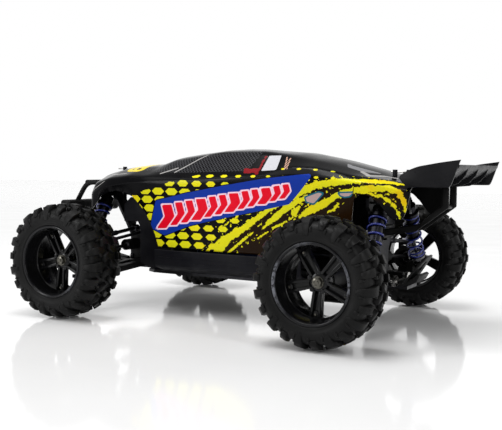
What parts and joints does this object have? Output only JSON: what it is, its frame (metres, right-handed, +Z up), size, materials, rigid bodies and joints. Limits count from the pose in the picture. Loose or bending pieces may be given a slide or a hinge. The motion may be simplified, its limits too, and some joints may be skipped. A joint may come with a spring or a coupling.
{
  "type": "radio-controlled truggy",
  "caption": "Radio-controlled off-road truggy with four sprung wheels, linked steering, coupled drive line, removable painted shell and a raised rear wing.",
  "frame": {"origin": "on the ground under the middle of the whole car", "axes": "+X forwards, +Y to the car's left, +Z up"},
  "size_m": [0.606, 0.419, 0.224],
  "materials": {
    "shell_paint": "clear-coated polycarbonate, gloss black with yellow graphics",
    "tyre_rubber": "matte black rubber",
    "wheel_gloss": "gloss black moulded plastic",
    "wing_plastic": "satin black moulded plastic",
    "strut_plastic": "satin black moulded plastic",
    "guard_plastic": "matte black moulded plastic",
    "bumper_plastic": "matte black moulded plastic",
    "housing_plastic": "glass-filled black plastic",
    "hub_plastic": "glass-filled black plastic",
    "arm_plastic": "glass-filled black plastic",
    "servo_case": "satin black case",
    "case_plastic": "satin black case",
    "battery_wrap": "dark blue shrink wrap",
    "motor_can": "black anodised can",
    "anodised_plate": "dark anodised aluminium",
    "tower_plate": "dark anodised aluminium",
    "link_aluminium": "machined aluminium",
    "shock_anodised": "black anodised body",
    "polished_rod": "polished steel rod with plastic ends",
    "spring_blue": "blue powder-coated spring wire",
    "steel_shafts": "machined steel",
    "steel_hardware": "bright steel pins, screws and clips"
  },
  "bodies": {
    "chassis": {"chassis_plate": "anodised_plate", "side_guards": "guard_plastic", "bumpers": "bumper_plastic", "drive_housings": "housing_plastic", "motor": "motor_can", "battery_pack": "battery_wrap", "electronics": "case_plastic", "steering_servo": "servo_case", "shock_towers": "tower_plate", "wing_mount": "strut_plastic", "rear_wing": "wing_plastic", "body_shell": "shell_paint", "fasteners": "steel_hardware"},
    "bellcrank_left": {"steering_bellcrank_left": "arm_plastic"},
    "bellcrank_right": {"steering_bellcrank_right": "arm_plastic"},
    "center_link": {"center_link": "link_aluminium"},
    "servo_horn": {"servo_horn": "link_aluminium"},
    "servo_link": {"servo_link": "steel_shafts"},
    "arm_front_left": {"lower_arm_front_left": "arm_plastic"},
    "link_front_left": {"upper_link_front_left": "steel_shafts"},
    "driveshaft_front_left": {"driveshaft_front_left": "steel_shafts"},
    "shock_body_front_left": {"shock_body_front_left": "shock_anodised", "shock_spring_front_left": "spring_blue"},
    "shock_rod_front_left": {"shock_rod_front_left": "polished_rod"},
    "carrier_front_left": {"hub_carrier_front_left": "hub_plastic"},
    "wheel_front_left": {"wheel_front_left": "wheel_gloss", "tyre_front_left": "tyre_rubber"},
    "knuckle_front_left": {"steering_knuckle_left": "hub_plastic"},
    "track_rod_left": {"track_rod_left": "steel_shafts"},
    "arm_front_right": {"lower_arm_front_right": "arm_plastic"},
    "link_front_right": {"upper_link_front_right": "steel_shafts"},
    "driveshaft_front_right": {"driveshaft_front_right": "steel_shafts"},
    "shock_body_front_right": {"shock_body_front_right": "shock_anodised", "shock_spring_front_right": "spring_blue"},
    "shock_rod_front_right": {"shock_rod_front_right": "polished_rod"},
    "carrier_front_right": {"hub_carrier_front_right": "hub_plastic"},
    "wheel_front_right": {"wheel_front_right": "wheel_gloss", "tyre_front_right": "tyre_rubber"},
    "knuckle_front_right": {"steering_knuckle_right": "hub_plastic"},
    "track_rod_right": {"track_rod_right": "steel_shafts"},
    "arm_rear_left": {"lower_arm_rear_left": "arm_plastic"},
    "link_rear_left": {"upper_link_rear_left": "steel_shafts"},
    "driveshaft_rear_left": {"driveshaft_rear_left": "steel_shafts"},
    "shock_body_rear_left": {"shock_body_rear_left": "shock_anodised", "shock_spring_rear_left": "spring_blue"},
    "shock_rod_rear_left": {"shock_rod_rear_left": "polished_rod"},
    "carrier_rear_left": {"hub_rear_left": "hub_plastic"},
    "wheel_rear_left": {"wheel_rear_left": "wheel_gloss", "tyre_rear_left": "tyre_rubber"},
    "arm_rear_right": {"lower_arm_rear_right": "arm_plastic"},
    "link_rear_right": {"upper_link_rear_right": "steel_shafts"},
    "driveshaft_rear_right": {"driveshaft_rear_right": "steel_shafts"},
    "shock_body_rear_right": {"shock_body_rear_right": "shock_anodised", "shock_spring_rear_right": "spring_blue"},
    "shock_rod_rear_right": {"shock_rod_rear_right": "polished_rod"},
    "carrier_rear_right": {"hub_rear_right": "hub_plastic"},
    "wheel_rear_right": {"wheel_rear_right": "wheel_gloss", "tyre_rear_right": "tyre_rubber"},
    "center_drivetrain": {"center_drivetrain": "steel_shafts"},
    "motor_pinion": {"motor_pinion": "steel_shafts"}
  },
  "joints": [
    {"name": "steering", "type": "hinge", "parent": "chassis", "child": "bellcrank_left", "pos_m": [0.141, 0.024, 0.092], "axis": [0, 0, 1], "range_deg": [-25, 25]},
    {"name": "bellcrank_right_turn", "type": "hinge", "parent": "chassis", "child": "bellcrank_right", "pos_m": [0.141, -0.024, 0.092], "axis": [0, 0, 1], "range_deg": [-25, 25]},
    {"name": "center_link_turn", "type": "hinge", "parent": "bellcrank_left", "child": "center_link", "pos_m": [0.115, 0.024, 0.101], "axis": [0, 0, 1], "range_deg": [-25, 25]},
    {"name": "servo_horn_turn", "type": "hinge", "parent": "chassis", "child": "servo_horn", "pos_m": [0.081, -0.024, 0.092], "axis": [0, 0, 1], "range_deg": [-25, 25]},
    {"name": "servo_link_turn", "type": "hinge", "parent": "servo_horn", "child": "servo_link", "pos_m": [0.081, -0.044, 0.098], "axis": [0, 0, 1], "range_deg": [-25, 25]},
    {"name": "suspension_front_left", "type": "hinge", "parent": "chassis", "child": "arm_front_left", "pos_m": [0.192, 0.027, 0.06], "axis": [1, 0, 0], "range_deg": [-8, 12], "stiffness_Nm_per_rad": 5, "springref_deg": -8.49},
    {"name": "upper_link_swing_front_left", "type": "hinge", "parent": "chassis", "child": "link_front_left", "pos_m": [0.192, 0.022, 0.107], "axis": [1, 0, 0], "range_deg": [-8, 12]},
    {"name": "driveshaft_swing_front_left", "type": "hinge", "parent": "chassis", "child": "driveshaft_front_left", "pos_m": [0.192, 0.04, 0.084], "axis": [1, 0, 0], "range_deg": [-8, 12]},
    {"name": "carrier_swing_front_left", "type": "hinge", "parent": "arm_front_left", "child": "carrier_front_left", "pos_m": [0.192, 0.133, 0.05], "axis": [1, 0, 0], "range_deg": [-12, 8]},
    {"name": "shock_swing_front_left", "type": "hinge", "parent": "chassis", "child": "shock_body_front_left", "pos_m": [0.217, 0.052, 0.158], "axis": [1, 0, 0], "range_deg": [-2.71, 4.04]},
    {"name": "shock_stroke_front_left", "type": "slide", "parent": "shock_body_front_left", "child": "shock_rod_front_left", "axis": [0, 0.5283, -0.8491], "range_m": [-0.01556, 0.01041], "deforming": ["shock_spring_front_left"]},
    {"name": "kingpin_front_left", "type": "hinge", "parent": "carrier_front_left", "child": "knuckle_front_left", "pos_m": [0.192, 0.146, 0.074], "axis": [0, 0, 1], "range_deg": [-25, 25]},
    {"name": "track_rod_swing_left", "type": "hinge", "parent": "center_link", "child": "track_rod_left", "pos_m": [0.166, 0.04, 0.104], "axis": [1, 0, 0], "range_deg": [-8, 12]},
    {"name": "wheel_spin_front_left", "type": "hinge", "parent": "knuckle_front_left", "child": "wheel_front_left", "pos_m": [0.192, 0.1775, 0.074], "axis": [0, 1, 0], "continuous": true},
    {"name": "suspension_front_right", "type": "hinge", "parent": "chassis", "child": "arm_front_right", "pos_m": [0.192, -0.027, 0.06], "axis": [-1, 0, 0], "range_deg": [-8, 12], "stiffness_Nm_per_rad": 5, "springref_deg": -8.49},
    {"name": "upper_link_swing_front_right", "type": "hinge", "parent": "chassis", "child": "link_front_right", "pos_m": [0.192, -0.022, 0.107], "axis": [-1, 0, 0], "range_deg": [-8, 12]},
    {"name": "driveshaft_swing_front_right", "type": "hinge", "parent": "chassis", "child": "driveshaft_front_right", "pos_m": [0.192, -0.04, 0.084], "axis": [-1, 0, 0], "range_deg": [-8, 12]},
    {"name": "carrier_swing_front_right", "type": "hinge", "parent": "arm_front_right", "child": "carrier_front_right", "pos_m": [0.192, -0.133, 0.05], "axis": [-1, 0, 0], "range_deg": [-12, 8]},
    {"name": "shock_swing_front_right", "type": "hinge", "parent": "chassis", "child": "shock_body_front_right", "pos_m": [0.217, -0.052, 0.158], "axis": [-1, 0, 0], "range_deg": [-2.71, 4.04]},
    {"name": "shock_stroke_front_right", "type": "slide", "parent": "shock_body_front_right", "child": "shock_rod_front_right", "axis": [0, -0.5283, -0.8491], "range_m": [-0.01556, 0.01041], "deforming": ["shock_spring_front_right"]},
    {"name": "kingpin_front_right", "type": "hinge", "parent": "carrier_front_right", "child": "knuckle_front_right", "pos_m": [0.192, -0.146, 0.074], "axis": [0, 0, 1], "range_deg": [-25, 25]},
    {"name": "track_rod_swing_right", "type": "hinge", "parent": "center_link", "child": "track_rod_right", "pos_m": [0.166, -0.04, 0.104], "axis": [-1, 0, 0], "range_deg": [-8, 12]},
    {"name": "wheel_spin_front_right", "type": "hinge", "parent": "knuckle_front_right", "child": "wheel_front_right", "pos_m": [0.192, -0.1775, 0.074], "axis": [0, 1, 0], "continuous": true},
    {"name": "suspension_rear_left", "type": "hinge", "parent": "chassis", "child": "arm_rear_left", "pos_m": [-0.17, 0.027, 0.06], "axis": [1, 0, 0], "range_deg": [-8, 12], "stiffness_Nm_per_rad": 5, "springref_deg": -8.75},
    {"name": "upper_link_swing_rear_left", "type": "hinge", "parent": "chassis", "child": "link_rear_left", "pos_m": [-0.17, 0.022, 0.107], "axis": [1, 0, 0], "range_deg": [-8, 12]},
    {"name": "driveshaft_swing_rear_left", "type": "hinge", "parent": "chassis", "child": "driveshaft_rear_left", "pos_m": [-0.17, 0.04, 0.084], "axis": [1, 0, 0], "range_deg": [-8, 12]},
    {"name": "carrier_swing_rear_left", "type": "hinge", "parent": "arm_rear_left", "child": "carrier_rear_left", "pos_m": [-0.17, 0.133, 0.05], "axis": [1, 0, 0], "range_deg": [-12, 8]},
    {"name": "shock_swing_rear_left", "type": "hinge", "parent": "chassis", "child": "shock_body_rear_left", "pos_m": [-0.195, 0.052, 0.158], "axis": [1, 0, 0], "range_deg": [-2.71, 4.04]},
    {"name": "shock_stroke_rear_left", "type": "slide", "parent": "shock_body_rear_left", "child": "shock_rod_rear_left", "axis": [0, 0.5283, -0.8491], "range_m": [-0.01556, 0.01041], "deforming": ["shock_spring_rear_left"]},
    {"name": "wheel_spin_rear_left", "type": "hinge", "parent": "carrier_rear_left", "child": "wheel_rear_left", "pos_m": [-0.17, 0.1775, 0.074], "axis": [0, 1, 0], "continuous": true},
    {"name": "suspension_rear_right", "type": "hinge", "parent": "chassis", "child": "arm_rear_right", "pos_m": [-0.17, -0.027, 0.06], "axis": [-1, 0, 0], "range_deg": [-8, 12], "stiffness_Nm_per_rad": 5, "springref_deg": -8.75},
    {"name": "upper_link_swing_rear_right", "type": "hinge", "parent": "chassis", "child": "link_rear_right", "pos_m": [-0.17, -0.022, 0.107], "axis": [-1, 0, 0], "range_deg": [-8, 12]},
    {"name": "driveshaft_swing_rear_right", "type": "hinge", "parent": "chassis", "child": "driveshaft_rear_right", "pos_m": [-0.17, -0.04, 0.084], "axis": [-1, 0, 0], "range_deg": [-8, 12]},
    {"name": "carrier_swing_rear_right", "type": "hinge", "parent": "arm_rear_right", "child": "carrier_rear_right", "pos_m": [-0.17, -0.133, 0.05], "axis": [-1, 0, 0], "range_deg": [-12, 8]},
    {"name": "shock_swing_rear_right", "type": "hinge", "parent": "chassis", "child": "shock_body_rear_right", "pos_m": [-0.195, -0.052, 0.158], "axis": [-1, 0, 0], "range_deg": [-2.71, 4.04]},
    {"name": "shock_stroke_rear_right", "type": "slide", "parent": "shock_body_rear_right", "child": "shock_rod_rear_right", "axis": [0, -0.5283, -0.8491], "range_m": [-0.01556, 0.01041], "deforming": ["shock_spring_rear_right"]},
    {"name": "wheel_spin_rear_right", "type": "hinge", "parent": "carrier_rear_right", "child": "wheel_rear_right", "pos_m": [-0.17, -0.1775, 0.074], "axis": [0, 1, 0], "continuous": true},
    {"name": "center_shaft_spin", "type": "hinge", "parent": "chassis", "child": "center_drivetrain", "pos_m": [0.011, 0, 0.084], "axis": [1, 0, 0], "continuous": true},
    {"name": "motor_spin", "type": "hinge", "parent": "chassis", "child": "motor_pinion", "pos_m": [0.006, -0.034, 0.084], "axis": [1, 0, 0], "continuous": true}
  ],
  "couplings": [
    {"joint": "bellcrank_right_turn", "follows": "steering", "ratio": 1},
    {"joint": "center_link_turn", "follows": "steering", "ratio": -1},
    {"joint": "servo_horn_turn", "follows": "steering", "ratio": 1},
    {"joint": "servo_link_turn", "follows": "steering", "ratio": -1},
    {"joint": "upper_link_swing_front_left", "follows": "suspension_front_left", "ratio": 1},
    {"joint": "driveshaft_swing_front_left", "follows": "suspension_front_left", "ratio": 1},
    {"joint": "carrier_swing_front_left", "follows": "suspension_front_left", "ratio": -1},
    {"joint": "shock_swing_front_left", "follows": "suspension_front_left", "ratio": 0.3323},
    {"joint": "shock_stroke_front_left", "follows": "suspension_front_left", "m_per_rad": -0.07382},
    {"joint": "kingpin_front_left", "follows": "steering", "ratio": 1},
    {"joint": "track_rod_swing_left", "follows": "suspension_front_left", "ratio": 1},
    {"joint": "upper_link_swing_front_right", "follows": "suspension_front_right", "ratio": 1},
    {"joint": "driveshaft_swing_front_right", "follows": "suspension_front_right", "ratio": 1},
    {"joint": "carrier_swing_front_right", "follows": "suspension_front_right", "ratio": -1},
    {"joint": "shock_swing_front_right", "follows": "suspension_front_right", "ratio": 0.3323},
    {"joint": "shock_stroke_front_right", "follows": "suspension_front_right", "m_per_rad": -0.07382},
    {"joint": "kingpin_front_right", "follows": "steering", "ratio": 1},
    {"joint": "track_rod_swing_right", "follows": "suspension_front_right", "ratio": 1},
    {"joint": "wheel_spin_front_right", "follows": "wheel_spin_front_left", "ratio": 1},
    {"joint": "upper_link_swing_rear_left", "follows": "suspension_rear_left", "ratio": 1},
    {"joint": "driveshaft_swing_rear_left", "follows": "suspension_rear_left", "ratio": 1},
    {"joint": "carrier_swing_rear_left", "follows": "suspension_rear_left", "ratio": -1},
    {"joint": "shock_swing_rear_left", "follows": "suspension_rear_left", "ratio": 0.3323},
    {"joint": "shock_stroke_rear_left", "follows": "suspension_rear_left", "m_per_rad": -0.07382},
    {"joint": "wheel_spin_rear_left", "follows": "wheel_spin_front_left", "ratio": 1},
    {"joint": "upper_link_swing_rear_right", "follows": "suspension_rear_right", "ratio": 1},
    {"joint": "driveshaft_swing_rear_right", "follows": "suspension_rear_right", "ratio": 1},
    {"joint": "carrier_swing_rear_right", "follows": "suspension_rear_right", "ratio": -1},
    {"joint": "shock_swing_rear_right", "follows": "suspension_rear_right", "ratio": 0.3323},
    {"joint": "shock_stroke_rear_right", "follows": "suspension_rear_right", "m_per_rad": -0.07382},
    {"joint": "wheel_spin_rear_right", "follows": "wheel_spin_front_left", "ratio": 1},
    {"joint": "center_shaft_spin", "follows": "wheel_spin_front_left", "ratio": 3.9},
    {"joint": "motor_spin", "follows": "wheel_spin_front_left", "ratio": -12.675}
  ]
}
